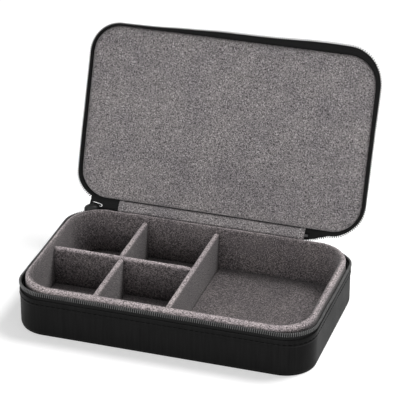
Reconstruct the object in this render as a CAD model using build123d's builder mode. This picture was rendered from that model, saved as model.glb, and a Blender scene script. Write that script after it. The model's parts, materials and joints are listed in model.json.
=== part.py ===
# Zip-around case for cufflinks and small jewellery, shown open, all lengths in millimetres.
# +X runs along the width (the hinge), +Y to the back, +Z up.  Origin: centre of the underside.
from build123d import *
import os
from math import asin, cos, pi, radians, sin

os.makedirs("parts", exist_ok=True)

# ---- outside of the case ----
case_width = 190.0
case_depth = 115.0
corner_radius = 20.0
base_height = 25.0          # underside to the hem of the lower half
lid_height = 10.0           # hem of the lid to its top face
zip_gap = 11.0              # between the two hems with the lid shut
open_angle = 110.3          # lid travel from shut to the pose shown
hinge_behind = 1.65         # hinge line behind the back face
hinge_above = 9.45          # hinge line above the lower hem

# ---- skins and boards ----
leather = 0.8
hem_width = 4.8             # turned-over strip of leather at each hem
hem_proud = 0.25            # how far the turned strip stands out
panel_leather = 1.2         # top and bottom panels
panel_inset = 0.8           # panel edge in from the outside of the band
panel_edge_round = 0.6
band_edge_round = 1.0
fit = 0.05                  # between pieces that are glued or sewn together
base_board = 1.7
wall_board = 0.9
lid_board = 2.0

# ---- zip ----
tape = 0.4
tape_sewn_in = 8.0          # depth of tape hidden behind the lower hem
lid_tape_sewn_in = 6.0
lower_tape_rise = 3.4       # tape above the lower hem, under its coil
upper_tape_rise = 3.2
coil_width = 1.2            # height of each row of teeth
coil_depth = 0.7
tooth_pitch = 1.33
tooth_proud = 0.35
zip_start_in = 9.0          # the rows start this far in from the back's left bend
zip_end_in = 15.0           # and end this far in from its right bend
flare_right = 3.0           # the lid's tape leans outward, more at the front than at the sides
flare_left = 0.3
flare_front = 4.0
flare_back = 3.0
upper_tape_start = 55.0     # degrees round the left corner, from the back, where the lid's row starts

# ---- suede tray ----
tray_wall = 3.8
tray_gap = 0.2              # tray to the board round it
tray_rim_above_hem = 7.2
tray_corner_radius = 22.0
tray_inner_radius = 19.5
tray_rim_round = 1.8
floor_pad = 1.1

# ---- dividers ----
divider = 3.2
divider_below_rim = 2.7
divider_round = 1.4
divider_fit = 0.1
main_divider_x = 3.6
cross_divider_y = 2.6
rear_divider_x = -44.6
front_divider_x = -43.2

# ---- lid padding ----
lining = 2.0
lining_proud = 1.7          # lining face past the lid's hem
lining_edge_round = 0.9

# ---- hinge ----
spine = 0.9
spine_edge_round = 0.3
spine_overlap = 7.0         # leather flap stitched over each half
spine_rise = 6.0            # lower flap above its hem
spine_end_inset = 4.0       # flap ends in from the ends of the zip
strip = 0.4
strip_end_inset = 0.5
strip_rise = 6.0            # height above the hem where the strip bends back
strip_reach = 2.1           # how far back it then leans
strip_lean_rise = 2.9
spine_hinge_gap = 0.15      # upper flap above the hinge line

# ---- slider and pull ----
slider_past_bend = 9.0      # slider's middle past the start of the back's left bend
slider_length = 8.4
slider_width = 6.4
slider_thickness = 4.6
slider_slot = 1.9
slider_round = 0.8
slider_drop = 0.7           # slider's middle below the middle of the gap
slider_out = 1.2            # and out from the tapes
slider_roll = 50.0          # turned up from lying flat on the side
post_length = 1.6
post_width = 1.4
bridge_width = 1.4
bridge_length = 5.6
bridge_bar = 0.9
bridge_round = 0.3
bridge_hole = 2.4           # height of the hole that the pull goes through
bridge_shift = 0.2          # bridge nearer to the closed end
pull_shift = 1.5            # and the pull's end in it
pull_height = 1.6           # pull's end above the slider's plate
pull_wire = 0.9
pull_wire_round = 0.4
pull_length = 11.0
pull_width = 4.6
pull_droop = 15.0
mouth_clearance = 0.7       # between the slider and the rows that enter it

# ---- thread and stops ----
stitch_pitch = 3.4
stitch_length = 2.4
stitch_thread = 0.35
stitch_below_edge = 3.3
stop_length = 2.2
stop_thickness = 1.4
chain_height = 2.4          # both rows together where they are closed
chain_tape_rise = 8.8       # joined tapes above the lower hem

# ---- values that follow ----
half_width = case_width / 2
half_depth = case_depth / 2
back_half = half_width - corner_radius           # half of the back's straight run
zip_left_end = back_half - zip_start_in
zip_right_end = back_half - zip_end_in
hinge_y = half_depth + hinge_behind
hinge_z = base_height + hinge_above
lid_hem = base_height + zip_gap                  # heights with the lid shut
lid_top = lid_hem + lid_height
lid_panel_low = lid_top - panel_leather
lining_face = lid_hem - lining_proud
lining_back = lining_face + lining
lid_board_low = lid_panel_low - lid_board
upper_tape_low = lid_hem - upper_tape_rise
middle_of_gap = base_height + zip_gap / 2
tape_inset = leather + fit
board_inset = tape_inset + tape + fit
tray_inset = board_inset + wall_board + tray_gap
inner_inset = tray_inset + tray_wall
floor_low = panel_leather + base_board
floor_top = floor_low + floor_pad
rim_top = base_height + tray_rim_above_hem
divider_top = rim_top - divider_below_rim
tape_low = base_height - tape_sewn_in
lower_tape_top = base_height + lower_tape_rise
inside_x = half_width - inner_inset
inside_y = half_depth - inner_inset

# The lid's own frame: x as the case, y from the hinge towards the front edge of the lid,
# z out of the lining.  Its origin is the lid's centre at the height of the hinge line.
turn = radians(open_angle)
lid_along = (0, -cos(turn), sin(turn))
lid_out = (0, -sin(turn), -cos(turn))
lid_centre = (0, hinge_y + hinge_y * lid_along[1], hinge_z + hinge_y * lid_along[2])
lid_plane = Plane(origin=lid_centre, x_dir=(1, 0, 0), z_dir=lid_out)
lid_axis = Axis(lid_centre, lid_out)


def lid_level(shut_height):
    """The lid's plane that lies at this height when the lid is shut."""
    return lid_plane.offset(hinge_z - shut_height)


def outline(inset, mode=Mode.ADD):
    """The case's rounded outline, drawn in by inset."""
    RectangleRounded(case_width - 2 * inset, case_depth - 2 * inset, corner_radius - inset, mode=mode)


def ring(inset, wall):
    """A closed wall that follows the case's outline."""
    outline(inset)
    outline(inset + wall, mode=Mode.SUBTRACT)


def loop_point(s, width, depth, radius):
    """Point and outward direction at length s round a rounded rectangle.

    s starts at the middle of the back and runs by the left side, the front and the right side.
    """
    half_back = width / 2 - radius
    side = depth - 2 * radius
    bend = radius * pi / 2
    legs = [
        (half_back, (0, depth / 2), (-1, 0), (0, 1)),
        (bend, (-half_back, side / 2), 90, None),
        (side, (-width / 2, side / 2), (0, -1), (-1, 0)),
        (bend, (-half_back, -side / 2), 180, None),
        (2 * half_back, (-half_back, -depth / 2), (1, 0), (0, -1)),
        (bend, (half_back, -side / 2), 270, None),
        (side, (width / 2, -side / 2), (0, 1), (1, 0)),
        (bend, (half_back, side / 2), 0, None),
        (half_back, (half_back, depth / 2), (-1, 0), (0, 1)),
    ]
    for length, start, heading, outward in legs:
        if s <= length:
            break
        s -= length
    if outward is None:
        angle = radians(heading) + s / radius
        outward = (cos(angle), sin(angle))
        return (start[0] + radius * outward[0], start[1] + radius * outward[1]), outward
    return (start[0] + heading[0] * s, start[1] + heading[1] * s), outward


def loop_length(width, depth, radius):
    return 2 * (width + depth) - 8 * radius + 2 * pi * radius


def toothed_row(width, depth, radius, start, end, thickness, centre=(0, 0), back=1):
    """Outline of a row of zip teeth that follows a loop, as a comb facing outward.

    centre moves the loop, and back is -1 where the hinge side lies at negative y.
    """
    count = int((end - start) / tooth_pitch)
    step = (end - start) / count
    comb = []
    smooth = []
    for tooth in range(count):
        for share, out in ((0.0, 0.0), (0.3, 0.0), (0.45, tooth_proud), (0.85, tooth_proud)):
            (x, y), (nx, ny) = loop_point(start + (tooth + share) * step, width, depth, radius)
            comb.append((x + out * nx, y + out * ny))
            if share == 0.0:
                smooth.append((x - thickness * nx, y - thickness * ny))
    (x, y), (nx, ny) = loop_point(end, width, depth, radius)
    comb.append((x, y))
    smooth.append((x - thickness * nx, y - thickness * ny))
    corners = [(centre[0] + x, centre[1] + back * y) for x, y in comb + smooth[::-1]]
    with BuildLine() as row:
        Polyline(*corners, close=True)
    return row.line


def finish(builder, name):
    builder.part.label = name
    export_step(builder.part, f"parts/{name}.step")


# ======== lower half ========
with BuildPart() as bottom_panel:
    with BuildSketch():
        outline(panel_inset)
    extrude(amount=panel_leather)
    fillet(bottom_panel.faces().sort_by(Axis.Z)[0].edges(), panel_edge_round)
finish(bottom_panel, "bottom_panel")

with BuildPart() as base_band:
    with BuildSketch(Plane.XY.offset(panel_leather)):
        outline(hem_proud)
    extrude(amount=base_height - hem_width - panel_leather)
    fillet(base_band.faces().sort_by(Axis.Z)[0].edges(), band_edge_round)
    with BuildSketch(Plane.XY.offset(base_height - hem_width)):
        outline(0)
    extrude(amount=hem_width)
    fillet(base_band.faces().sort_by(Axis.Z)[-1].edges(), leather / 2)
    with BuildSketch(Plane.XY.offset(panel_leather)):
        outline(leather)
    extrude(amount=base_height, mode=Mode.SUBTRACT)
finish(base_band, "base_band")

with BuildPart() as base_floor_board:
    with BuildSketch(Plane.XY.offset(panel_leather)):
        outline(tape_inset)
    extrude(amount=base_board)
finish(base_floor_board, "base_floor_board")

with BuildPart() as base_wall_board:
    with BuildSketch(Plane.XY.offset(floor_low)):
        ring(board_inset, wall_board)
    extrude(amount=base_height - floor_low)
finish(base_wall_board, "base_wall_board")

# ======== tray ========
with BuildPart() as tray_wall_suede:
    with BuildSketch(Plane.XY.offset(floor_low)):
        RectangleRounded(case_width - 2 * tray_inset, case_depth - 2 * tray_inset, tray_corner_radius)
        RectangleRounded(2 * inside_x, 2 * inside_y, tray_inner_radius, mode=Mode.SUBTRACT)
    extrude(amount=rim_top - floor_low)
    fillet(tray_wall_suede.faces().sort_by(Axis.Z)[-1].edges(), tray_rim_round)
finish(tray_wall_suede, "tray_wall")

with BuildPart() as tray_floor:
    with BuildSketch(Plane.XY.offset(floor_low)):
        RectangleRounded(2 * (inside_x - fit), 2 * (inside_y - fit), tray_inner_radius - fit)
    extrude(amount=floor_pad)
finish(tray_floor, "tray_floor")


def divider_panel(name, x_from, x_to, y_from, y_to):
    """An upright suede-covered board with a rounded top and rounded ends."""
    with BuildPart() as panel:
        with BuildSketch(Plane.XY.offset(floor_top)):
            with Locations(((x_from + x_to) / 2, (y_from + y_to) / 2)):
                Rectangle(x_to - x_from, y_to - y_from)
        extrude(amount=divider_top - floor_top)
        along = Axis.X if x_to - x_from > y_to - y_from else Axis.Y
        top_edges = panel.faces().sort_by(Axis.Z)[-1].edges()
        fillet(top_edges.filter_by(along), divider_round)
        ends = panel.faces().filter_by(along)
        fillet(ends.edges().group_by(Axis.Z)[-1], divider_round / 2)
    finish(panel, name)


half_divider = divider / 2
divider_panel(
    "main_divider",
    main_divider_x - half_divider,
    main_divider_x + half_divider,
    -inside_y + divider_fit,
    inside_y - divider_fit,
)
divider_panel(
    "cross_divider",
    -inside_x + divider_fit,
    main_divider_x - half_divider - divider_fit,
    cross_divider_y - half_divider,
    cross_divider_y + half_divider,
)
divider_panel(
    "short_divider_rear",
    rear_divider_x - half_divider,
    rear_divider_x + half_divider,
    cross_divider_y + half_divider + divider_fit,
    inside_y - divider_fit,
)
divider_panel(
    "short_divider_front",
    front_divider_x - half_divider,
    front_divider_x + half_divider,
    -inside_y + divider_fit,
    cross_divider_y - half_divider - divider_fit,
)

# ======== lower row of the zip ========
slider_arc = corner_radius - tape_inset
slider_turn = asin(slider_past_bend / slider_arc)
slider_x = -(back_half + slider_past_bend)
slider_mouth = slider_length / 2 + mouth_clearance
slider_s = back_half + slider_arc * slider_turn
slider_left = slider_x - slider_mouth * cos(slider_turn)
loop_w = case_width - 2 * tape_inset
loop_d = case_depth - 2 * tape_inset
lower_loop = loop_length(loop_w, loop_d, slider_arc)


def back_gap(x_from, x_to, back=1, mode=Mode.SUBTRACT):
    """Stretch across the back of the case where a wall is left out."""
    with Locations(((x_from + x_to) / 2, back * half_depth)):
        Rectangle(x_to - x_from, 2 * corner_radius, mode=mode)


with BuildPart() as lower_tape:
    with BuildSketch(Plane.XY.offset(tape_low)):
        ring(tape_inset, tape)
        back_gap(-zip_left_end, zip_right_end)
    extrude(amount=base_height - tape_low)
    with BuildSketch(Plane.XY.offset(base_height)):
        ring(tape_inset, tape)
        back_gap(slider_left, zip_right_end)
    extrude(amount=lower_tape_rise + coil_width)
finish(lower_tape, "lower_zip_tape")

with BuildPart() as lower_coil:
    with BuildSketch(Plane.XY.offset(lower_tape_top)):
        make_face(
            toothed_row(
                loop_w + 2 * coil_depth,
                loop_d + 2 * coil_depth,
                slider_arc + coil_depth,
                slider_s + slider_mouth,
                lower_loop - zip_right_end - stop_length - fit,
                coil_depth - fit,
            )
        )
    extrude(amount=coil_width)
finish(lower_coil, "lower_zip_teeth")

slider_right = slider_x + slider_mouth * cos(slider_turn)

with BuildPart() as closed_chain:
    with BuildSketch(Plane.XY.offset(base_height)):
        ring(tape_inset, tape)
        back_gap(slider_right, -zip_left_end, mode=Mode.INTERSECT)
    extrude(amount=chain_tape_rise)
    with BuildSketch(Plane.XY.offset(middle_of_gap - chain_height / 2)):
        make_face(
            toothed_row(
                loop_w + 2 * coil_depth,
                loop_d + 2 * coil_depth,
                slider_arc + coil_depth,
                zip_left_end + stop_length + fit,
                slider_s - slider_mouth,
                coil_depth,
            )
        )
    extrude(amount=chain_height)
finish(closed_chain, "closed_zip_end")

# ======== lid ========
# Heights of the lid's plates and walls are those that they have with the lid shut.
with BuildPart() as lid_top_panel:
    with BuildSketch(lid_level(lid_top)):
        outline(panel_inset)
    extrude(amount=panel_leather)
    fillet(lid_top_panel.faces().sort_by(lid_axis)[0].edges(), panel_edge_round)
finish(lid_top_panel, "lid_top_panel")

with BuildPart() as lid_band:
    with BuildSketch(lid_level(lid_panel_low)):
        outline(hem_proud)
    extrude(amount=lid_panel_low - lid_hem - hem_width)
    fillet(lid_band.faces().sort_by(lid_axis)[0].edges(), band_edge_round)
    with BuildSketch(lid_level(lid_hem + hem_width)):
        outline(0)
    extrude(amount=hem_width)
    fillet(lid_band.faces().sort_by(lid_axis)[-1].edges(), leather / 2)
    with BuildSketch(lid_level(lid_panel_low)):
        outline(leather)
    extrude(amount=lid_height, mode=Mode.SUBTRACT)
finish(lid_band, "lid_band")

with BuildPart() as lid_stiff_board:
    with BuildSketch(lid_level(lid_panel_low)):
        outline(tape_inset)
    extrude(amount=lid_board)
finish(lid_stiff_board, "lid_stiff_board")

with BuildPart() as lid_wall_board:
    with BuildSketch(lid_level(lid_board_low)):
        ring(board_inset, wall_board)
    extrude(amount=lid_board_low - lining_back)
finish(lid_wall_board, "lid_wall_board")

with BuildPart() as lid_foam:
    with BuildSketch(lid_level(lid_board_low)):
        outline(board_inset + wall_board + fit)
    extrude(amount=lid_board_low - lining_back)
finish(lid_foam, "lid_foam")

with BuildPart() as lid_lining:
    with BuildSketch(lid_level(lining_back)):
        outline(board_inset)
    extrude(amount=lining)
    fillet(lid_lining.faces().sort_by(lid_axis)[-1].edges(), lining_edge_round)
finish(lid_lining, "lid_lining")

# ======== upper row of the zip ========
edge_centre = ((flare_right - flare_left) / 2, (flare_front - flare_back) / 2)
edge_w = loop_w + flare_left + flare_right
edge_d = loop_d + flare_front + flare_back
upper_start_s = back_half + slider_arc * radians(upper_tape_start)
upper_start_x = back_half + slider_arc * sin(radians(upper_tape_start))


def tape_edge(drawn_in, mode=Mode.ADD):
    """Free edge of the lid's tape, flared out from the hem."""
    with Locations(edge_centre):
        RectangleRounded(edge_w - 2 * drawn_in, edge_d - 2 * drawn_in, slider_arc - drawn_in, mode=mode)


with BuildPart() as upper_tape:
    for drawn_in, mode in ((0, Mode.ADD), (tape, Mode.SUBTRACT)):
        with BuildSketch(lid_level(lid_hem)):
            outline(tape_inset + drawn_in)
        with BuildSketch(lid_level(upper_tape_low)):
            tape_edge(drawn_in)
        loft(mode=mode)
    with BuildSketch(lid_level(upper_tape_low)):
        tape_edge(0)
        tape_edge(tape, mode=Mode.SUBTRACT)
    extrude(amount=coil_width)
    with BuildSketch(lid_level(lid_hem)):
        back_gap(-upper_start_x, zip_right_end, back=-1, mode=Mode.ADD)
    extrude(amount=upper_tape_rise + coil_width, mode=Mode.SUBTRACT)
    with BuildSketch(lid_level(lid_hem + lid_tape_sewn_in)):
        ring(tape_inset, tape)
        back_gap(-zip_left_end, zip_right_end, back=-1)
    extrude(amount=lid_tape_sewn_in)
finish(upper_tape, "upper_zip_tape")

with BuildPart() as upper_coil:
    with BuildSketch(lid_level(upper_tape_low)):
        make_face(
            toothed_row(
                edge_w + 2 * coil_depth,
                edge_d + 2 * coil_depth,
                slider_arc + coil_depth,
                upper_start_s,
                loop_length(edge_w, edge_d, slider_arc) - zip_right_end - stop_length - fit,
                coil_depth - fit,
                centre=edge_centre,
                back=-1,
            )
        )
    extrude(amount=coil_width)
finish(upper_coil, "upper_zip_teeth")

# ======== stops at the ends of the zip ========
stop_y = half_depth - tape_inset + fit + stop_thickness / 2
with BuildPart(Plane.XY.offset(middle_of_gap)) as bottom_stop:
    with Locations((-zip_left_end - stop_length / 2, stop_y)):
        Box(stop_length, stop_thickness, chain_height)
finish(bottom_stop, "bottom_stop")

with BuildPart(Plane.XY.offset(lower_tape_top + coil_width / 2)) as lower_top_stop:
    with Locations((zip_right_end + stop_length / 2, stop_y)):
        Box(stop_length, stop_thickness, coil_width)
finish(lower_top_stop, "lower_top_stop")

upper_stop_y = edge_centre[1] - edge_d / 2 - fit - stop_thickness / 2
with BuildPart(lid_level(upper_tape_low - coil_width / 2)) as upper_top_stop:
    with Locations((zip_right_end + stop_length / 2, upper_stop_y)):
        Box(stop_length, stop_thickness, coil_width)
finish(upper_top_stop, "upper_top_stop")

# ======== hinge: leather spine outside, suede strip inside ========
spine_left = -zip_left_end + spine_end_inset
spine_right = zip_right_end - spine_end_inset
spine_y = half_depth + fit + spine / 2

with BuildPart() as spine_lower:
    with BuildSketch(Plane.XY.offset(base_height - spine_overlap)):
        with Locations(((spine_left + spine_right) / 2, spine_y)):
            Rectangle(spine_right - spine_left, spine)
    extrude(amount=spine_overlap + spine_rise)
    fillet(spine_lower.faces().sort_by(Axis.Y)[-1].edges(), spine_edge_round)
finish(spine_lower, "spine_lower_flap")

with BuildPart() as spine_upper:
    with BuildSketch(lid_level(lid_hem + spine_overlap)):
        with Locations(((spine_left + spine_right) / 2, -spine_y)):
            Rectangle(spine_right - spine_left, spine)
    extrude(amount=lid_hem + spine_overlap - hinge_z - spine_hinge_gap)
finish(spine_upper, "spine_upper_flap")

strip_left = -zip_left_end + strip_end_inset
strip_right = zip_right_end - strip_end_inset
strip_y = half_depth - tape_inset - strip
bend_z = base_height + strip_rise
with BuildPart() as hinge_strip:
    with BuildSketch(Plane.YZ.offset(strip_left)):
        with BuildLine():
            Polyline(
                (strip_y, tape_low),
                (strip_y, bend_z),
                (strip_y + strip_reach, bend_z + strip_lean_rise),
                (strip_y + strip_reach + strip, bend_z + strip_lean_rise),
                (strip_y + strip, bend_z),
                (strip_y + strip, tape_low),
                close=True,
            )
        make_face()
    extrude(amount=strip_right - strip_left)
finish(hinge_strip, "hinge_strip")

# ======== slider, rolled up at the left end of the zip, and its wire pull ========
(tape_x, tape_y), (out_x, out_y) = loop_point(slider_s, loop_w, loop_d, slider_arc)
roll = radians(slider_roll)
slider_along = (out_y, -out_x, 0)
slider_face = (out_x * cos(roll), out_y * cos(roll), sin(roll))
slider_centre = (
    tape_x + slider_out * out_x,
    tape_y + slider_out * out_y,
    middle_of_gap - slider_drop,
)
slider_plane = Plane(origin=slider_centre, x_dir=slider_along, z_dir=slider_face)
plate_top = slider_thickness / 2

with BuildPart(slider_plane) as slider:
    Box(slider_length, slider_width, slider_thickness)
    fillet(slider.edges(), slider_round)
    Box(2 * slider_length, 2 * slider_width, slider_slot, mode=Mode.SUBTRACT)
    with Locations((-slider_length / 2 + slider_round + post_length / 2, 0)):
        Box(post_length, post_width, slider_slot + slider_round)
finish(slider, "zip_slider")

with BuildPart(slider_plane) as slider_bridge:
    with Locations((bridge_shift, 0, plate_top + (bridge_hole + bridge_bar) / 2)):
        Box(bridge_length, bridge_width, bridge_hole + bridge_bar)
    outer_face = slider_bridge.faces().sort_by(Axis(slider_plane.origin, slider_face))[-1]
    fillet(outer_face.edges(), bridge_round)
    with Locations((bridge_shift, 0, plate_top + bridge_hole / 2)):
        Box(bridge_length - 2 * bridge_bar, 2 * bridge_width, bridge_hole, mode=Mode.SUBTRACT)
finish(slider_bridge, "slider_bridge")

droop = radians(pull_droop)
pull_pivot = slider_plane.from_local_coords((pull_shift, 0, plate_top + pull_height))
across = slider_plane.y_dir
pull_along = slider_plane.x_dir * cos(droop) - slider_plane.z_dir * sin(droop)
pull_plane = Plane(origin=pull_pivot, x_dir=pull_along, z_dir=pull_along.cross(across))
with BuildPart() as pull:
    with BuildSketch(pull_plane.offset(-pull_wire / 2)):
        with Locations((pull_length / 2 - pull_wire / 2, 0)):
            SlotOverall(pull_length, pull_width)
            SlotOverall(pull_length - 2 * pull_wire, pull_width - 2 * pull_wire, mode=Mode.SUBTRACT)
    extrude(amount=pull_wire)
    fillet(pull.edges(), pull_wire_round)
finish(pull, "pull_wire")

# ======== thread ========


def hem_thread(level, back, name):
    """Stitches along one hem, in at the back where the spine covers it."""
    first = zip_left_end
    last = loop_length(case_width, case_depth, corner_radius) - zip_right_end
    count = int((last - first) / stitch_pitch)
    spots = []
    for stitch in range(count):
        s = first + (stitch + 0.5) * (last - first) / count
        (x, y), (nx, ny) = loop_point(s, case_width, case_depth, corner_radius)
        out = stitch_thread / 2 + fit
        heading = Vector(nx, back * ny, 0).get_signed_angle(Vector(0, 1, 0), Vector(0, 0, -1))
        spots.append(Location((x + out * nx, back * (y + out * ny), 0), (0, 0, heading)))
    with BuildPart(level) as row:
        with Locations(*spots):
            Box(stitch_length, stitch_thread, stitch_thread)
    finish(row, name)


hem_thread(Plane.XY.offset(base_height - stitch_below_edge), 1, "lower_hem_stitches")
hem_thread(lid_level(lid_hem + stitch_below_edge), -1, "lid_hem_stitches")
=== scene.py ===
"""A zip-around jewellery case, open: leather outside, suede inside, five compartments."""
import json
import math

import bmesh
import bpy
from mathutils import Euler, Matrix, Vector, noise


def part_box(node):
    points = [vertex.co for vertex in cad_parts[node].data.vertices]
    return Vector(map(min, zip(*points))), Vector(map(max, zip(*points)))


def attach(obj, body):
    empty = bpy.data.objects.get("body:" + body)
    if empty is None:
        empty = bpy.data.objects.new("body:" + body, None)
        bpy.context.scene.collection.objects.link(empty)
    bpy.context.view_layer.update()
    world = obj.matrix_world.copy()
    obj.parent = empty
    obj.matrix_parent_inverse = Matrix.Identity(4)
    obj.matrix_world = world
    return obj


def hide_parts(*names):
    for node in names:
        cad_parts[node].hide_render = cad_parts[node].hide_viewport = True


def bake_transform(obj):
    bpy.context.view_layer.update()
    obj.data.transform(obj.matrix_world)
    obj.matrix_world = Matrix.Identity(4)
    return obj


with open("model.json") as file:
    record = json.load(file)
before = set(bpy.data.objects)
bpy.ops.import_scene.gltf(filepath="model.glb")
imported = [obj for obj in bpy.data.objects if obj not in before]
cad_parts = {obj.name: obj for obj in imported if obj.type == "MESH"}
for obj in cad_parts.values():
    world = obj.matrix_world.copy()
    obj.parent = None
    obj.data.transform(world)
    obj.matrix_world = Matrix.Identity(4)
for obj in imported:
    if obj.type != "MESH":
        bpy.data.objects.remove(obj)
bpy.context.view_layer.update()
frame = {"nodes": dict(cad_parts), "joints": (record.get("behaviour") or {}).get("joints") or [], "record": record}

MM = 0.001
RIGHT = Vector((1, 0, 0))
UP = Vector((0, 0, 1))

# ---- sizes from the frame ----
joints = {joint["name"]: joint for joint in frame["joints"]}
HINGE_Y, HINGE_Z = joints["lid_hinge"]["pos_m"][1:]
OPEN = math.radians(joints["lid_hinge"]["range_deg"][1])
band_low, band_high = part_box("base_band")
HALF_X, HALF_Y, HEM_Z = band_high
tray_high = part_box("tray_wall")[1]
RIM_Z = tray_high.z
TRAY_INSET = HALF_X - tray_high.x
FLOOR_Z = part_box("tray_floor")[1].z
DIVIDER_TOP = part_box("main_divider")[1].z

# ---- sizes of the case that the boxes don't give ----
CORNER = 20.0 * MM
ZIP_GAP = 11.0 * MM           # from hem to hem with the case shut
LID_HEM_Z = HEM_Z + ZIP_GAP
LID_HEIGHT = 10.0 * MM
PANEL = 1.2 * MM
TRAY_CORNER = 22.0 * MM
TRAY_INNER_CORNER = 19.5 * MM
TRAY_WALL = 3.8 * MM
LEATHER = 0.8 * MM
HEM_DEPTH = 4.8 * MM
HEM_PROUD = 0.25 * MM
SEAM = 3.3 * MM               # from the hem's edge to its seam
TAPE = 0.4 * MM
TAPE_INSET = 0.85 * MM
PITCH = 1.33 * MM             # of the zip's teeth
TOOTH_HEIGHT = 2.5 * MM
LOWER_TEETH_TOP = 29.6 * MM
ZIP_LEFT = 66.0 * MM          # the hem seams run from this far left of the middle of the back
ZIP_RIGHT = 60.0 * MM         # to this far right of it, where the zip ends
SLIDER_X = -84.0 * MM


# ---- loops round the case ----
def case_shape(inset=0.0):
    """Half width, half depth and corner radius of the case's outline, drawn in by inset."""
    return HALF_X - inset, HALF_Y - inset, CORNER - inset


def legs(half_x, half_y, radius):
    """Straight runs and bends of a rounded rectangle, in order from the middle of the back."""
    back = half_x - radius
    side = 2 * (half_y - radius)
    bend = radius * math.pi / 2
    return [back, bend, side, bend, 2 * back, bend, side, bend, back]


CASE_LEGS = legs(*case_shape())
CASE_LENGTH = sum(CASE_LEGS)
TRAY_OUTER = (HALF_X - TRAY_INSET, HALF_Y - TRAY_INSET, TRAY_CORNER)
TRAY_INNER = (
    HALF_X - TRAY_INSET - TRAY_WALL, HALF_Y - TRAY_INSET - TRAY_WALL, TRAY_INNER_CORNER,
)


def leg_at(s):
    """Leg and share of it at length s round the case's outline."""
    for number, length in enumerate(CASE_LEGS):
        if s <= length or number == len(CASE_LEGS) - 1:
            return number, min(s / length, 1.0)
        s -= length


def on_loop(s, half_x, half_y, radius):
    """Point and outward direction on a rounded rectangle at the place that answers to s."""
    leg, share = leg_at(s)
    bx = half_x - radius
    by = half_y - radius
    if leg in (1, 3, 5, 7):
        centre = {1: (-bx, by), 3: (-bx, -by), 5: (bx, -by), 7: (bx, by)}[leg]
        angle = math.radians(90 * (leg + 1) / 2 + 90 * share)
        out = Vector((math.cos(angle), math.sin(angle)))
        return Vector(centre) + radius * out, out
    if leg == 0:
        return Vector((-bx * share, half_y)), Vector((0, 1))
    if leg == 2:
        return Vector((-half_x, by - 2 * by * share)), Vector((-1, 0))
    if leg == 4:
        return Vector((-bx + 2 * bx * share, -half_y)), Vector((0, -1))
    if leg == 6:
        return Vector((half_x, -by + 2 * by * share)), Vector((1, 0))
    return Vector((bx - bx * share, half_y)), Vector((0, 1))


def outward_at(s):
    """Level direction out of the case's wall at length s."""
    _, out = on_loop(s, *case_shape())
    return Vector((out.x, out.y, 0))


def case_point(s, inset, z):
    """Point at length s round the case, drawn in by inset, at height z."""
    p, _ = on_loop(s, *case_shape(inset))
    return Vector((p.x, p.y, z))


def stations(start, end, step):
    """Places round the case, with one at each end of each straight run."""
    marks = [start]
    reach = 0.0
    for length in CASE_LEGS:
        reach += length
        if start < reach < end:
            marks.append(reach)
    marks.append(end)
    places = []
    for a, b in zip(marks, marks[1:]):
        count = max(1, round((b - a) / step))
        places += [a + (b - a) * i / count for i in range(count)]
    return places + [end]


def opened(p):
    """A point of the shut lid, where it is with the lid open."""
    y, z = p.y - HINGE_Y, p.z - HINGE_Z
    c, s = math.cos(-OPEN), math.sin(-OPEN)
    return Vector((p.x, HINGE_Y + y * c - z * s, HINGE_Z + y * s + z * c))


def rounded_span(x, half_x, half_y, radius):
    """Half depth of a rounded rectangle at x."""
    past = abs(x) - (half_x - radius)
    if past <= 0:
        return half_y
    return half_y - radius + math.sqrt(max(0.0, radius ** 2 - past ** 2))


def edge_distance(x, y, half_x, half_y, radius):
    """How far inside a rounded rectangle a point lies."""
    qx = abs(x) - (half_x - radius)
    qy = abs(y) - (half_y - radius)
    outside = math.hypot(max(qx, 0), max(qy, 0)) + min(max(qx, qy), 0)
    return radius - outside


def ramp(value, low, high):
    """0 up to low, 1 from high, and a straight line between."""
    return min(1.0, max(0.0, (value - low) / (high - low)))


# ---- meshes ----
def add_object(name, bm, smooth=True):
    bmesh.ops.recalc_face_normals(bm, faces=bm.faces)
    mesh = bpy.data.meshes.new(name)
    bm.to_mesh(mesh)
    bm.free()
    if smooth:
        mesh.polygons.foreach_set("use_smooth", [True] * len(mesh.polygons))
    obj = bpy.data.objects.new(name, mesh)
    bpy.context.scene.collection.objects.link(obj)
    return obj


def grid(bm, rows, close_rows=False, close_profile=True, caps=True):
    """Faces between rows of points: a wall swept along its stations."""
    made = [[bm.verts.new(p) for p in row] for row in rows]
    count = len(made)
    for i in range(count if close_rows else count - 1):
        a, b = made[i], made[(i + 1) % count]
        width = len(a)
        for j in range(width if close_profile else width - 1):
            k = (j + 1) % width
            bm.faces.new((a[j], a[k], b[k], b[j]))
    if caps and not close_rows:
        bm.faces.new(made[0])
        bm.faces.new(made[-1][::-1])
    return made


def swept(name, rows, close_rows=False):
    """An object whose closed sections are the rows."""
    bm = bmesh.new()
    grid(bm, rows, close_rows=close_rows)
    return add_object(name, bm)


CAPSULE_RINGS = (
    # (place along the length, share of the thickness)
    (-0.5, 0.35), (-0.42, 0.8), (-0.2, 1.0), (0.2, 1.0), (0.42, 0.8), (0.5, 0.35),
)
CAPSULE_SIDES = 6


def capsule(bm, centre, along, across, out, length, width, height):
    """A short bar with round ends."""
    rows = []
    for place, thick in CAPSULE_RINGS:
        row = []
        for k in range(CAPSULE_SIDES):
            angle = math.radians(360 / CAPSULE_SIDES * k)
            row.append(
                centre + along * (place * length)
                + across * (width / 2 * thick * math.cos(angle))
                + out * (height / 2 * thick * math.sin(angle))
            )
        rows.append(row)
    grid(bm, rows)


def fuzz(p, size, height):
    """Height of fine unevenness at a point."""
    return height * noise.noise(p / size)


def flattened(value, power):
    """A sine or cosine drawn out, so that a circle turns into a fuller oval."""
    return math.copysign(abs(value) ** power, value)


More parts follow.
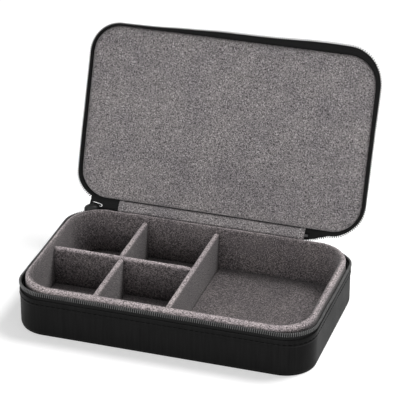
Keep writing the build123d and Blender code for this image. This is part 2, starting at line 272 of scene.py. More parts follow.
# ---- nodes ----
def blank_tree(owner, output):
    """Clears the nodes of a material or world: its tree, and the surface of a new output."""
    owner.use_nodes = True
    tree = owner.node_tree
    tree.nodes.clear()
    return tree, tree.nodes.new(output).inputs["Surface"]


def add_node(tree, kind, inputs):
    """A node with values on its own sockets."""
    node = tree.nodes.new(kind)
    for socket, value in inputs.items():
        node.inputs[socket].default_value = value
    return node


def object_coords(tree, stretch=(1, 1, 1)):
    coords = tree.nodes.new("ShaderNodeTexCoord")
    mapping = add_node(tree, "ShaderNodeMapping", {"Scale": stretch})
    tree.links.new(coords.outputs["Object"], mapping.inputs["Vector"])
    return mapping.outputs["Vector"]


def add_noise(tree, vector, scale, detail, roughness):
    node = add_node(
        tree, "ShaderNodeTexNoise", {"Scale": scale, "Detail": detail, "Roughness": roughness}
    )
    tree.links.new(vector, node.inputs["Vector"])
    return node.outputs["Fac"]


def add_ramp(tree, value, stops):
    node = tree.nodes.new("ShaderNodeValToRGB")
    elements = node.color_ramp.elements
    while len(elements) < len(stops):
        elements.new(0.5)
    for element, (place, colour) in zip(elements, stops):
        element.position = place
        element.color = (*colour, 1)
    tree.links.new(value, node.inputs["Fac"])
    return node.outputs["Color"]


def add_mix(tree, blend, a, b):
    node = add_node(tree, "ShaderNodeMix", {"Factor": 1.0})
    node.data_type = "RGBA"
    node.blend_type = blend
    tree.links.new(a, node.inputs["A"])
    tree.links.new(b, node.inputs["B"])
    return node.outputs["Result"]


def add_bump(tree, height, distance, strength, normal=None):
    node = add_node(tree, "ShaderNodeBump", {"Distance": distance, "Strength": strength})
    tree.links.new(height, node.inputs["Height"])
    if normal:
        tree.links.new(normal, node.inputs["Normal"])
    return node.outputs["Normal"]


def add_range(tree, value, low, high):
    node = add_node(tree, "ShaderNodeMapRange", {"To Min": low, "To Max": high})
    tree.links.new(value, node.inputs["Value"])
    return node.outputs["Result"]


# ---- materials ----
LOW_STOP, HIGH_STOP = 0.3, 0.7          # where a two-tone mottle turns from one to the other
NAP_TONES = ((0.34, 0.36), (0.47, 0.86), (0.56, 1.16), (0.70, 2.0))   # (nap height, tone)
DARKEST_NAP = 0.08
# palest tone of the painted highlight on suede edges
PALEST_HIGHLIGHT = 0.7


def grey(level, tint=(1.0, 1.0, 1.0)):
    return tuple(level * t for t in tint)


def new_material(name):
    material = bpy.data.materials.new(name)
    tree, surface = blank_tree(material, "ShaderNodeOutputMaterial")
    shader = tree.nodes.new("ShaderNodeBsdfPrincipled")
    tree.links.new(shader.outputs["BSDF"], surface)
    return material, tree, shader


def set_shader(shader, **values):
    """Sets values on the shader's own sockets, named as they are in lower case."""
    for name, value in values.items():
        socket = {"specular": "Specular IOR Level"}.get(name, name.replace("_", " ").title())
        shader.inputs[socket].default_value = value


def suede_material(name, level, highlight_level, tint, contrast):
    """Napped suede, with a painted highlight: where a mesh attribute is 1, a paler colour stands for the light
    that the nap catches at an edge.
    """
    material, tree, shader = new_material(name)
    where = object_coords(tree)
    nap = add_noise(tree, where, scale=1350, detail=2.5, roughness=0.7)
    tones = [(place, max(DARKEST_NAP, 1 + (tone - 1) * contrast)) for place, tone in NAP_TONES]
    body = add_ramp(tree, nap, [(place, grey(tone * level, tint)) for place, tone in tones])
    # paler tones of the same nap, a painted highlight for the light that an edge catches
    pale = [(place, min(PALEST_HIGHLIGHT, tone * highlight_level)) for place, tone in tones]
    edge = add_ramp(tree, nap, [(place, grey(tone, tint)) for place, tone in pale])
    painted_highlight = tree.nodes.new("ShaderNodeAttribute")
    painted_highlight.attribute_name = "painted_highlight"
    shade = add_mix(tree, "MIX", body, edge)
    tree.links.new(painted_highlight.outputs["Fac"], shade.node.inputs["Factor"])
    patches = add_noise(tree, where, scale=55, detail=2.0, roughness=0.5)
    brushed = add_ramp(
        tree, patches, [(LOW_STOP, (0.86, 0.85, 0.87)), (HIGH_STOP, (1.08, 1.07, 1.06))]
    )
    tree.links.new(add_mix(tree, "MULTIPLY", shade, brushed), shader.inputs["Base Color"])
    set_shader(shader, roughness=1.0, specular=0.1, sheen_weight=0.15, sheen_roughness=0.6)
    tree.links.new(add_bump(tree, nap, 0.5 * MM, strength=0.8), shader.inputs["Normal"])
    return material


def set_painted_highlight(obj, share=None):
    """Writes the suede's painted-highlight attribute: share(point), where over 1 counts as 1, or 0."""
    painted_highlight = obj.data.attributes.new("painted_highlight", "FLOAT", "POINT")
    painted_highlight.data.foreach_set("value", [share(v.co) if share else 0.0 for v in obj.data.vertices])


def leather_material():
    """Black leather: pebbled grain, fine streaks, and a gloss that wears unevenly."""
    material, tree, shader = new_material("black_leather")
    where = object_coords(tree)
    cells = add_node(tree, "ShaderNodeTexVoronoi", {"Scale": 1300})
    cells.feature = "DISTANCE_TO_EDGE"
    tree.links.new(where, cells.inputs["Vector"])
    pebble = add_range(tree, cells.outputs["Distance"], 0.0, 1.0)
    drawn_out = object_coords(tree, stretch=(1, 1, 0.06))
    streaks = add_noise(tree, drawn_out, scale=700, detail=3.0, roughness=0.6)
    colour = add_ramp(tree, streaks, [(LOW_STOP, grey(0.0015)), (HIGH_STOP, grey(0.005))])
    tree.links.new(colour, shader.inputs["Base Color"])
    wear = add_noise(tree, where, scale=90, detail=3.0, roughness=0.6)
    tree.links.new(add_range(tree, wear, 0.42, 0.58), shader.inputs["Roughness"])
    set_shader(shader, specular=0.07)
    grain = add_bump(tree, pebble, 0.06 * MM, strength=0.5)
    skin = add_bump(tree, streaks, 0.05 * MM, strength=0.35, normal=grain)
    tree.links.new(skin, shader.inputs["Normal"])
    return material


def tape_material():
    """Black woven tape."""
    material, tree, shader = new_material("black_tape")
    where = object_coords(tree)
    weave = add_node(tree, "ShaderNodeTexWave", {"Scale": 900, "Distortion": 1.5})
    weave.bands_direction = "Z"
    tree.links.new(where, weave.inputs["Vector"])
    threads = add_noise(tree, where, scale=2600, detail=2.0, roughness=0.5)
    colour = add_ramp(tree, threads, [(LOW_STOP, grey(0.004)), (HIGH_STOP, grey(0.011))])
    tree.links.new(colour, shader.inputs["Base Color"])
    set_shader(shader, roughness=0.9, specular=0.15)
    ribs = add_bump(tree, weave.outputs["Fac"], 0.08 * MM, strength=0.5)
    cloth = add_bump(tree, threads, 0.06 * MM, strength=0.5, normal=ribs)
    tree.links.new(cloth, shader.inputs["Normal"])
    return material


def plain_material(name, low, high, roughness, metallic=0.0, specular=0.5, scale=300, bump=0.01):
    """A surface whose grey, from low to high, and roughness vary a little; bump is in mm."""
    material, tree, shader = new_material(name)
    spread = 0.06
    mottle = add_noise(tree, object_coords(tree), scale, detail=3.0, roughness=0.6)
    colour = add_ramp(tree, mottle, [(LOW_STOP, grey(low)), (HIGH_STOP, grey(high))])
    tree.links.new(colour, shader.inputs["Base Color"])
    gloss = add_range(tree, mottle, roughness - spread, roughness + spread)
    tree.links.new(gloss, shader.inputs["Roughness"])
    set_shader(shader, metallic=metallic, specular=specular)
    tree.links.new(add_bump(tree, mottle, bump * MM, strength=0.4), shader.inputs["Normal"])
    return material


# The lid and the tray are lined with one suede. These are lit and shaded copies of it: the tray's copy is darker,
# a painted shade for the dim inside of the tray, and the lid's copy is paler, a painted light.
LID_SUEDE_PAINTED_LIGHT = suede_material(
    "lid_suede_painted_light", level=0.195, highlight_level=0.24, tint=(1.045, 0.98, 0.99), contrast=1.5
)
TRAY_SUEDE_PAINTED_SHADE = suede_material(
    "tray_suede_painted_shade", level=0.108, highlight_level=0.31, tint=(1.09, 0.965, 0.975), contrast=1.9
)
LEATHER_SKIN = leather_material()
TAPE_CLOTH = tape_material()
# The lower and joined teeth use a nylon painted paler than the lid's, a painted highlight for the light that the
# coil catches; the lid's darker nylon is the coil's own black.
NYLON_PAINTED_HIGHLIGHT = plain_material("nylon_painted_highlight", 0.08, 0.15, roughness=0.5, specular=0.25)
LID_NYLON = plain_material("lid_nylon", 0.015, 0.035, roughness=0.5, specular=0.2)
THREAD = plain_material(
    "black_thread", 0.001, 0.003, roughness=0.9, specular=0.03, scale=1800, bump=0.05
)
PALE_THREAD = plain_material("pale_thread", 0.4, 0.6, roughness=0.7, scale=1800, bump=0.05)
BLACK_METAL = plain_material("black_metal", 0.006, 0.012, roughness=0.42, specular=0.25)
BRIGHT_METAL = plain_material("bright_metal", 0.6, 0.75, roughness=0.2, metallic=1.0)
BOARD = plain_material("black_board", 0.008, 0.016, roughness=0.9, bump=0.05)
FOAM = plain_material("foam", 0.55, 0.7, roughness=0.95, scale=900, bump=0.2)

CAD_FINISH = {
    "black_leather": LEATHER_SKIN, "grey_suede": TRAY_SUEDE_PAINTED_SHADE, "board": BOARD, "foam": FOAM,
    "zip_tape": TAPE_CLOTH, "thread": THREAD, "zip_coil": NYLON_PAINTED_HIGHLIGHT, "black_metal": BLACK_METAL,
    "bright_metal": BRIGHT_METAL,
}
for part in frame["record"]["subparts"]:
    slots = frame["nodes"][part["node"]].data.materials
    slots.clear()
    slots.append(CAD_FINISH[part["material_slot"]])


def dress(obj, material, body, slot, *nodes):
    """Gives a piece its finish and body, and hides the nodes that it stands for; slot is not used."""
    obj.data.materials.append(material)
    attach(obj, body)
    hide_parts(*nodes)


# ---- leather bands ----
# (inset, way on from the hem) in mm, each run counted from the place that band_profile gives it
PANEL_EDGE = ((0.8, 0.0), (0.62, -0.02), (0.42, -0.25), (0.30, -0.7), (0.25, -1.4))
HEM_STEP = ((0.25, 0.5), (0.25, 0.12), (0.175, 0.0), (0.06, -0.1), (0.0, -0.4))
SEAM_GROOVE = ((0.0, 0.45), (0.05, 0.25), (0.16, 0.0), (0.05, -0.25), (0.0, -0.45))
ROLLED_EDGE = (
    (-0.02, 1.6), (0.0, 0.6), (0.07, 0.22), (0.25, 0.03), (0.45, 0.0), (0.65, 0.08), (0.8, 0.4),
)


def band_profile(height):
    """(inset, distance from the hem) round the leather wall of one half, from its panel."""
    def run(points, start):
        return [(inset * MM, start + way * MM) for inset, way in points]

    return (
        run(PANEL_EDGE, height) + [(HEM_PROUD, height * 0.62)] + run(HEM_STEP, HEM_DEPTH)
        + run(SEAM_GROOVE, SEAM) + run(ROLLED_EDGE, 0.0) + [(LEATHER, height * 0.5)]
    )


def make_band(name, height, to_place, body, node):
    """The leather wall of one half, with its turned hem, sewing groove and slight waves."""
    rows = []
    for s in stations(0, CASE_LENGTH, 1.6 * MM)[:-1]:
        wave = fuzz(case_point(s, 0, 0), 23 * MM, 0.06 * MM)
        rows.append([
            to_place(s, inset - wave if inset < LEATHER else inset, down)
            for inset, down in band_profile(height)
        ])
    dress(swept(name, rows, close_rows=True), LEATHER_SKIN, body, "black_leather", node)


def base_place(s, inset, down):
    return case_point(s, inset, HEM_Z - down)


def lid_place(s, inset, down):
    return opened(case_point(s, inset, LID_HEM_Z + down))


make_band("lower_leather", HEM_Z - band_low.z, base_place, "base", "base_band")
make_band("lid_leather", LID_HEIGHT - PANEL, lid_place, "lid", "lid_band")


# ---- thread along the hems ----
def make_hem_thread(name, to_place, body, node):
    """The hem's seam: short threads in the groove, each a little aslant."""
    pitch, length, thread = 3.4 * MM, 2.5 * MM, 0.42 * MM
    slant, sunk = 0.06, 0.02 * MM
    first, last = ZIP_LEFT, CASE_LENGTH - ZIP_RIGHT
    count = int((last - first) / pitch)
    bm = bmesh.new()
    for stitch in range(count):
        s = first + (stitch + 0.5) * (last - first) / count
        before, after = (to_place(s + way * MM, 0, SEAM) for way in (-0.5, 0.5))
        along = (after - before).normalized()
        out = (to_place(s, -1 * MM, SEAM) - to_place(s, 0, SEAM)).normalized()
        tilt = (along + slant * along.cross(out)).normalized()
        here = to_place(s, sunk, SEAM)
        capsule(bm, here, tilt, tilt.cross(out), out, length, thread, thread)
    dress(add_object(name, bm), THREAD, body, "thread", node)


make_hem_thread("lower_thread", base_place, "base", "lower_hem_stitches")
make_hem_thread("lid_thread", lid_place, "lid", "lid_hem_stitches")


# ---- suede tray ----
DIVIDER_NODES = ("main_divider", "cross_divider", "short_divider_rear", "short_divider_front")
dividers = {node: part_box(node) for node in DIVIDER_NODES}
REAR_SLITS = [
    (dividers[node][0].x + dividers[node][1].x) / 2
    for node in ("main_divider", "short_divider_rear")
]


def arc(count, radius, centre_z):
    """(share from -1 to 1, height) over a half circle."""
    angles = [math.pi * k / count for k in range(count + 1)]
    return [(-math.cos(angle), centre_z + radius * math.sin(angle)) for angle in angles]


def tray_point(s, share, z):
    """Point in the tray's wall: share 0 is its outer face and 1 its inner face."""
    outer, _ = on_loop(s, *TRAY_OUTER)
    inner, _ = on_loop(s, *TRAY_INNER)
    p = outer.lerp(inner, share)
    return Vector((p.x, p.y, z))


def tray_profile():
    """(share of the wall, height) up the outer face, over the rim and down the inner face."""
    round_top = TRAY_WALL / 2
    outer = [(0.0, z * MM) for z in (18, 22, 25, 27, 28, 29)]
    bend = [(0.5 + 0.5 * side, z) for side, z in arc(16, round_top, RIM_Z - round_top)]
    inner = [(1.0, z * MM) for z in (29.2, 28, 26, 23, 20, 16, 12, 9, 7, 5.2, 3.4)]
    hidden = [(0.5, 3.4 * MM), (0.1, 12 * MM)]
    return outer + bend + inner + hidden


def edge_painted_highlight(z, top):
    """Share of painted highlight, a paler colour for the light caught near the edge, at height z of a wall with
    its edge at top.
    """
    return 1.15 * ramp(z, top - 1.9 * MM, top - 0.8 * MM)


def rim_painted_highlight(p):
    """Painted highlight: a paler colour for the light caught on the outer half of the tray's rim and down its
    outer face.
    """
    outside = TRAY_WALL - edge_distance(p.x, p.y, *TRAY_OUTER)
    across = ramp(outside, 0.9 * MM, 2.3 * MM)
    return across * ramp(p.z, RIM_Z - 4.6 * MM, RIM_Z - 1.6 * MM)


def make_tray():
    """The tray's suede wall, let in where two dividers meet it at the back."""
    inner_nap = 0.6               # the inner face's nap lies flatter
    slit_half, slit_depth = 0.5 * MM, 0.9 * MM
    elsewhere = Vector((9, 0, 0))  # reads the noise at another place
    profile = tray_profile()
    places = stations(0, CASE_LENGTH, 1.0 * MM)[:-1]
    for x in REAR_SLITS:
        middle = -x if x < 0 else CASE_LENGTH - x
        places += [middle + d * MM for d in (-0.7, -0.4, -0.15, 0.15, 0.4, 0.7)]
    rows = []
    for s in sorted(places):
        row = []
        for share, z in profile:
            p = tray_point(s, share, z)
            out = (tray_point(s, 0, z) - tray_point(s, 1, z)).normalized()
            p += out * fuzz(p, 1.1 * MM, 0.13 * MM) * (inner_nap if share == 1.0 else 1.0)
            p += out * fuzz(p, 19 * MM, 0.25 * MM)
            if z > RIM_Z - TRAY_WALL / 2:
                p.z += fuzz(p + elsewhere, 1.3 * MM, 0.16 * MM)
                p.z += fuzz(p, 30 * MM, 0.2 * MM)
            at_back = share > 0.7 and p.y > TRAY_INNER[1] - 1 * MM
            if at_back and z > DIVIDER_TOP - 1.5 * MM:
                for x in REAR_SLITS:
                    near = max(0.0, 1 - abs(p.x - x) / slit_half)
                    p += out * near * slit_depth
            row.append(p)
        rows.append(row)
    tray = swept("tray_suede_painted_shade", rows, close_rows=True)
    # paints a highlight on the rim: a paler colour for the light that it catches
    set_painted_highlight(tray, rim_painted_highlight)
    dress(tray, TRAY_SUEDE_PAINTED_SHADE, "base", "grey_suede", "tray_wall")


make_tray()

# ---- pads ----
CROWDING = 0.35               # how much closer a pad's rows lie at its edges
NARROWEST = 0.3 * MM


def crowded(share):
    """Moves shares from -1 to 1 towards both ends."""
    return (1 - CROWDING) * share + CROWDING * math.sin(share * math.pi / 2)


def cushion_rows(half_x, half_y, radius, step, height):
    """Rows of points over a rounded rectangle, at height(x, y)."""
    count_x = round(2 * half_x / step)
    count_y = round(2 * half_y / step)
    rows = []
    for i in range(count_x + 1):
        x = half_x * crowded(2 * i / count_x - 1)
        span = max(rounded_span(x, half_x, half_y, radius), NARROWEST)
        across = [span * crowded(2 * j / count_y - 1) for j in range(count_y + 1)]
        rows.append([Vector((x, y, height(x, y))) for y in across])
    return rows


def edge_of(rows):
    """The vertices round the edge of a grid, in order."""
    return (
        [row[0] for row in rows] + rows[-1][1:] + [row[-1] for row in rows[-2::-1]]
        + rows[0][-2:0:-1]
    )


def slab(rows, low):
    """A closed pad: its top rows, with straight sides down to low."""
    bm = bmesh.new()
    flat = [[Vector((p.x, p.y, low)) for p in row] for row in rows]
    rim, foot = (edge_of(grid(bm, r, close_profile=False, caps=False)) for r in (rows, flat))
    for k in range(len(rim)):
        n = (k + 1) % len(rim)
        bm.faces.new((rim[k], foot[k], foot[n], rim[n]))
    return bm


def waves(x, y, wide, wide_height, narrow=9 * MM, narrow_height=0.06 * MM):
    """Height of a pad's slow and quick unevenness at a place."""
    p = Vector((x, y, 0))
    return fuzz(p, wide, wide_height) + fuzz(p, narrow, narrow_height)


def divider_gap(x, y):
    """Distance from a point to the nearest divider or wall."""
    near = edge_distance(x, y, *TRAY_INNER)
    for low, high in dividers.values():
        dx = max(low.x - x, x - high.x, 0)
        dy = max(low.y - y, y - high.y, 0)
        near = min(near, math.hypot(dx, dy))
    return near


def floor_height(x, y):
    """Height of the floor pad's face: it sinks where a wall or divider holds it down."""
    depth, spread = 0.7 * MM, 1.6 * MM
    sink = depth * math.exp(-max(0.0, divider_gap(x, y)) / spread)
    return FLOOR_Z - sink + waves(x, y, 30 * MM, 0.25 * MM)


def make_floor():
    """The floor pad, tucked a little way into the tray's wall."""
    tuck = 0.5 * MM
    shape = [size + tuck for size in TRAY_INNER]
    rows = cushion_rows(*shape, 1.1 * MM, floor_height)
    pad = add_object("tray_floor_suede", slab(rows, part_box("tray_floor")[0].z))
    set_painted_highlight(pad)
    dress(pad, TRAY_SUEDE_PAINTED_SHADE, "base", "grey_suede", "tray_floor")


make_floor()


# ---- dividers ----
def divider_profile(top_round):
    """(share of the half thickness, height) up one face, over the top and down the other."""
    foot = [(0.9, FLOOR_Z - 0.9 * MM), (1, FLOOR_Z + 1 * MM)]
    face = foot + [(1, z * MM) for z in (8, 12, 16, 20, 24, 26.5)]
    bend = arc(12, top_round, DIVIDER_TOP - top_round)
    return [(-share, z) for share, z in face] + bend + face[::-1]


def make_divider(node):
    """A suede-covered board: round top, uneven faces, ends rounded where they meet a wall."""
    low, high = dividers[node]
    centre = (low + high) / 2
    along_x = high.x - low.x > high.y - low.y
    width, depth = high.x - low.x, high.y - low.y
    length, thickness = (width, depth) if along_x else (depth, width)
    half = thickness / 2
    top_round = half * 0.98
    narrowing, narrow_run = 0.35, 1.2 * MM
    end_drop, drop_run = 0.8 * MM, 2.2 * MM
    drawn_in = 0.05 * MM
    elsewhere = Vector((5, 3, 0))  # reads the noise at another place

    def turned(along, side, z):
        return Vector((along, side, z)) if along_x else Vector((side, along, z))

    profile = divider_profile(top_round)
    count = round(length / (0.8 * MM))
    rows = []
    for i in range(count + 1):
        t = -length / 2 + length * i / count
        from_end = min(t + length / 2, length / 2 - t)
        taper = 1 - narrowing * max(0, 1 - from_end / narrow_run) ** 2
        drop = end_drop * max(0, 1 - from_end / drop_run) ** 2
        row = []
        for share, z in profile:
            upper = ramp(z, 20 * MM, 28 * MM)
            p = turned(t, share * half * taper, z - drop * upper)
            p.x += centre.x
            p.y += centre.y
            rough = fuzz(p, 1.1 * MM, 0.13 * MM)
            p += turned(0, math.copysign(1, share), 0) * (rough * (0.4 + 0.6 * upper) - drawn_in)
            if z > DIVIDER_TOP - top_round:
                p.z += fuzz(p + elsewhere, 1.2 * MM, 0.17 * MM) + fuzz(p, 18 * MM, 0.15 * MM)
            row.append(p)
        rows.append(row)
    board = swept(node + "_suede", rows)
    # paints a highlight along the top: a paler colour for the light that it catches
    set_painted_highlight(board, lambda p: edge_painted_highlight(p.z, DIVIDER_TOP))
    dress(board, TRAY_SUEDE_PAINTED_SHADE, "base", "grey_suede", node)


for node_name in DIVIDER_NODES:
    make_divider(node_name)


# ---- lid lining ----
LINING = case_shape(inset=1.3 * MM)
LINING_FACE = LID_HEM_Z - 1.7 * MM
LINING_BACK = LINING_FACE + 2.0 * MM


def lining_height(x, y):
    """Shut height of the lining's face: it rolls up to the hem at its edges."""
    roll, rise = 3.2 * MM, 1.75 * MM
    share = min(max(0.0, edge_distance(x, y, *LINING)) / roll, 1.0)
    edge = rise * (1 - math.sqrt(max(0.0, 1 - (1 - share) ** 2)))
    return LINING_FACE + edge + waves(x, y, 38 * MM, 0.22 * MM, narrow=12 * MM)


def make_lining():
    """The lid's padded lining, made shut and turned open."""
    bm = slab(cushion_rows(*LINING, 1.2 * MM, lining_height), LINING_BACK)
    for v in bm.verts:
        v.co = opened(v.co)
    pad = add_object("lid_lining_suede", bm)
    set_painted_highlight(pad)
    dress(pad, LID_SUEDE_PAINTED_LIGHT, "lid", "grey_suede", "lid_lining")


make_lining()

# ---- places round the zip ----
corner_ends = [sum(CASE_LEGS[:number]) for number in range(1, len(CASE_LEGS))]
BACK_LEFT, LEFT_TOP, LEFT_END, FRONT_LEFT = corner_ends[:4]
FRONT_END, FRONT_RIGHT, RIGHT_END, BACK_RIGHT = corner_ends[4:]
FRONT_MIDDLE = (FRONT_LEFT + FRONT_END) / 2
RIGHT_BEND = (RIGHT_END + BACK_RIGHT) / 2
ZIP_END = CASE_LENGTH - ZIP_RIGHT
TAPE_END = ZIP_END + 2.5 * MM           # tucked behind the strip

slider_turn = math.asin((-SLIDER_X - (HALF_X - CORNER)) / (CORNER - TAPE_INSET))
SLIDER_S = HALF_X - CORNER + CORNER * slider_turn
LOWER_START = SLIDER_S + 2.5 * MM
UPPER_START = SLIDER_S - 1.0 * MM
LOWER_RISE = LOWER_TEETH_TOP - HEM_Z - 0.5 * MM
UPPER_RISE = 3.9 * MM

# (length round the case, how far a tape leans in or out there, in degrees)
LOWER_LEAN = [
    (BACK_LEFT, 4), (LEFT_TOP, 2), (LEFT_END, 4), (FRONT_LEFT, 8), (FRONT_MIDDLE, 10),
    (FRONT_END, 6), (FRONT_RIGHT, -4), (RIGHT_END, 2), (BACK_RIGHT, 12), (ZIP_END, 12),
]
LID_FLARE = [
    (BACK_LEFT, 60), (BACK_LEFT + 20 * MM, 30), (LEFT_TOP, 4), (LEFT_END, 2),
    (FRONT_LEFT, 12), (FRONT_MIDDLE, 46), (FRONT_END, 62), (FRONT_RIGHT, 46),
    (RIGHT_END, 38), (RIGHT_BEND, 50), (BACK_RIGHT, 80), (ZIP_END, 88),
]
# (length round the case, how far the tape's edge reaches beyond the hem there, in mm)
LOWER_REACH = [
    (FRONT_RIGHT, 4.1), (RIGHT_END, 2.4), (RIGHT_BEND, 1.2), (BACK_RIGHT, 1.5), (ZIP_END, 3.0),
]
LID_REACH = [
    (BACK_LEFT + 8 * MM, 2.4), (BACK_LEFT + 20 * MM, 3.2), (LEFT_TOP, 3.9),
    (FRONT_LEFT, 3.9), (FRONT_MIDDLE, 4.8), (FRONT_END - 12 * MM, 6.0), (FRONT_END, 5.8),
    (FRONT_RIGHT, 3.9), (RIGHT_END, 2.8), (RIGHT_BEND, 1.9), (BACK_RIGHT, 2.6),
    (CASE_LENGTH - 70 * MM, 4.2), (CASE_LENGTH - 65 * MM, 5.9), (ZIP_END, 7.2),
]


def smooth_between(s, marks):
    """Value at s on a smooth line through (s, value) marks."""
    if s <= marks[0][0]:
        return marks[0][1]
    for (a, va), (b, vb) in zip(marks, marks[1:]):
        if s <= b:
            t = (s - a) / (b - a)
            return va + (vb - va) * t * t * (3 - 2 * t)
    return marks[-1][1]


# ---- tapes and teeth ----
def reach_to(along, rise, tip):
    """Moves a place on a tape so that its edge ends at tip: the teeth keep their size."""
    return along + (tip - rise) * min(1.0, along / (rise - TOOTH_HEIGHT))


def tape_wave(root, along, size, height):
    """How far a tape waves out of its face: more the further it is from the hem."""
    return fuzz(root, size, height) * max(0.0, along) / (4 * MM)


def lower_edge(s, along, off):
    """Point of the lower tape: along is the way up from the hem, off the way out of its face."""
    root = case_point(s, TAPE_INSET, HEM_Z)
    outward = outward_at(s)
    run_dir, face = UP, outward
    if along > 0:
        along = reach_to(along, LOWER_RISE, smooth_between(s, LOWER_REACH) * MM)
        lean = math.radians(smooth_between(s, LOWER_LEAN))
        run_dir = UP * math.cos(lean) - outward * math.sin(lean)
        face = outward * math.cos(lean) + UP * math.sin(lean)
    wave = tape_wave(root, along, 17 * MM, 0.35 * MM)
    return root + run_dir * along + face * (off + wave)


def upper_edge(s, along, off):
    """Point of the lid's tape, from its hem towards the teeth."""
    root = case_point(s, TAPE_INSET, LID_HEM_Z)
    outward = outward_at(s)
    run_dir, face = -UP, outward
    if along > 0:
        along = reach_to(along, UPPER_RISE, smooth_between(s, LID_REACH) * MM)
    # a short reach can draw a place back inside the hem, where the tape runs straight
    if along > 0:
        bend = min(1.0, along / (1.2 * MM))
        turned = math.radians(smooth_between(s, LID_FLARE)) * (0.35 + 0.65 * bend)
        run_dir = -UP * math.cos(turned) + outward * math.sin(turned)
        face = outward * math.cos(turned) + UP * math.sin(turned)
    wave = tape_wave(root, along, 21 * MM, 0.4 * MM)
    return opened(root + run_dir * along + face * (off + wave))


def make_tape(name, place, start, sewn_in, rise, body, node):
    """A tape from inside its hem to its edge, with the cord that fills the coil sewn along it."""
    cord = rise - 2.3 * MM
    face = (
        (-sewn_in, 0), (-0.5 * sewn_in, 0), (0.0, 0), (0.5 * cord, 0), (cord, 0),
        (cord + 0.2 * MM, 0.75 * MM), (rise - 0.9 * MM, 0.9 * MM), (rise - 0.2 * MM, 0.75 * MM),
        (rise, 0.2 * MM),
    )
    back = (rise, 0.75 * rise, cord, 0.5 * cord, 0.0, -0.5 * sewn_in, -sewn_in)
    profile = face + tuple((along, -TAPE) for along in back)
    rows = [
        [place(s, along, off) for along, off in profile]
        for s in stations(start, TAPE_END, 1.5 * MM)
    ]
    dress(swept(name, rows), TAPE_CLOTH, body, "zip_tape", node)


TOOTH_RINGS = (
    # (share of the height, then in mm: width, thickness, centre off the tape)
    (0.0, 0.34, 0.55, 0.45), (0.12, 0.44, 0.95, 0.60), (0.45, 0.44, 1.10, 0.72),
    (0.72, 0.48, 1.15, 0.74), (0.86, 0.66, 1.25, 0.68), (0.97, 0.60, 1.10, 0.58),
    (1.0, 0.34, 0.70, 0.50),
)
TOOTH_SIDES = 8
TOOTH_LEAN = 0.22 * MM
FLATS_TO_CORNERS = 1.08


def make_teeth(name, place, start, end, top, material, body, node):
    """Coil loops along a tape's edge, each a rounded bar with a wider head."""
    count = int((end - start) / PITCH)
    bm = bmesh.new()
    for tooth in range(count):
        s = start + (tooth + 0.5) * (end - start) / count
        rows = []
        for share, width, thick, centre in TOOTH_RINGS:
            lean = TOOTH_LEAN * (share - 0.5)
            row = []
            for k in range(TOOTH_SIDES):
                angle = math.radians(360 / TOOTH_SIDES * (k + 0.5))
                aside = width * MM / 2 * math.cos(angle) * FLATS_TO_CORNERS
                off = centre * MM + thick * MM / 2 * math.sin(angle) * FLATS_TO_CORNERS
                row.append(place(s + aside + lean, top - TOOTH_HEIGHT * (1 - share), off))
            rows.append(row)
        grid(bm, rows)
    dress(add_object(name, bm), material, body, "zip_coil", node)


make_tape("lower_tape", lower_edge, LOWER_START, 5 * MM, LOWER_RISE, "base", "lower_zip_tape")
make_tape("lid_tape", upper_edge, UPPER_START, 4 * MM, UPPER_RISE, "lid", "upper_zip_tape")
# the lower teeth take the nylon painted paler, as a painted highlight
make_teeth(
    "lower_teeth", lower_edge, LOWER_START, ZIP_END - 2.3 * MM, LOWER_RISE + 0.5 * MM,
    NYLON_PAINTED_HIGHLIGHT, "base", "lower_zip_teeth",
)
make_teeth(
    "lid_teeth", upper_edge, UPPER_START, ZIP_END - 0.3 * MM, UPPER_RISE + 0.95 * MM,
    LID_NYLON, "lid", "upper_zip_teeth",
)


# ---- sheets across the hinge ----
# (y, z) sections in mm, from the lower half to the lid
STRIP_PATH = [
    (56.25, 17), (56.25, 24), (56.25, 29.5), (56.6, 31.6), (57.8, 33.7), (59.1, 35.1),
    (60.4, 35.9), (61.5, 35.9), (62.2, 35.4),
]
SPINE_PATH = [
    (58.0, 18), (58.0, 24), (58.0, 29), (58.2, 31.2), (58.9, 33.0), (60.1, 34.1),
    (61.7, 34.4), (64.2, 33.8), (67.2, 32.75),
]
CHAIN_PATH = [(56.5, 25), (56.6, 28), (57.1, 31), (58.7, 33.6), (60.6, 35.4), (61.9, 36.5)]
CHAIN_LEFT, CHAIN_RIGHT = -85.0 * MM, -64.0 * MM
POINTS_TO_SPAN = 4
STITCH_IN = 3.0 * MM
LEFT_STITCHES = (13, 16, 19)            # places in the strip's section
RIGHT_STITCHES = (12, 15, 18, 22)


def curve_points(points, count):
    """Points on a smooth line through the given ones, count to a span."""
    line = []
    for i in range(len(points) - 1):
        p0 = points[max(i - 1, 0)]
        p1, p2 = points[i], points[i + 1]
        p3 = points[min(i + 2, len(points) - 1)]
        for k in range(count):
            t = k / count
            line.append(
                0.5 * ((2 * p1) + (p2 - p0) * t + (2 * p0 - 5 * p1 + 4 * p2 - p3) * t * t
                       + (3 * p1 - p0 - 3 * p2 + p3) * t ** 3)
            )
    return line + [points[-1]]


def section_line(path):
    """A smooth line through a (y, z) section in mm, with its normals."""
    line = curve_points([Vector((0, y * MM, z * MM)) for y, z in path], POINTS_TO_SPAN)
    normals = []
    for i in range(len(line)):
        tangent = (line[min(i + 1, len(line) - 1)] - line[max(i - 1, 0)]).normalized()
        normals.append(Vector((0, -tangent.z, tangent.y)))
    return list(zip(line, normals))


def round_corner(p):
    """Shift of a sheet across the hinge where it runs round the case's corner."""
    past = abs(p.x) - (HALF_X - CORNER)
    if past <= 0:
        return Vector((0, 0, 0))
    depth = CORNER - math.sqrt(CORNER ** 2 - past ** 2)
    share = ramp(p.z, 29 * MM, 36 * MM)
    forward = Vector((0, -1, 0))
    lid_forward = opened(forward) - opened(Vector((0, 0, 0)))
    return forward.lerp(lid_forward, share) * depth


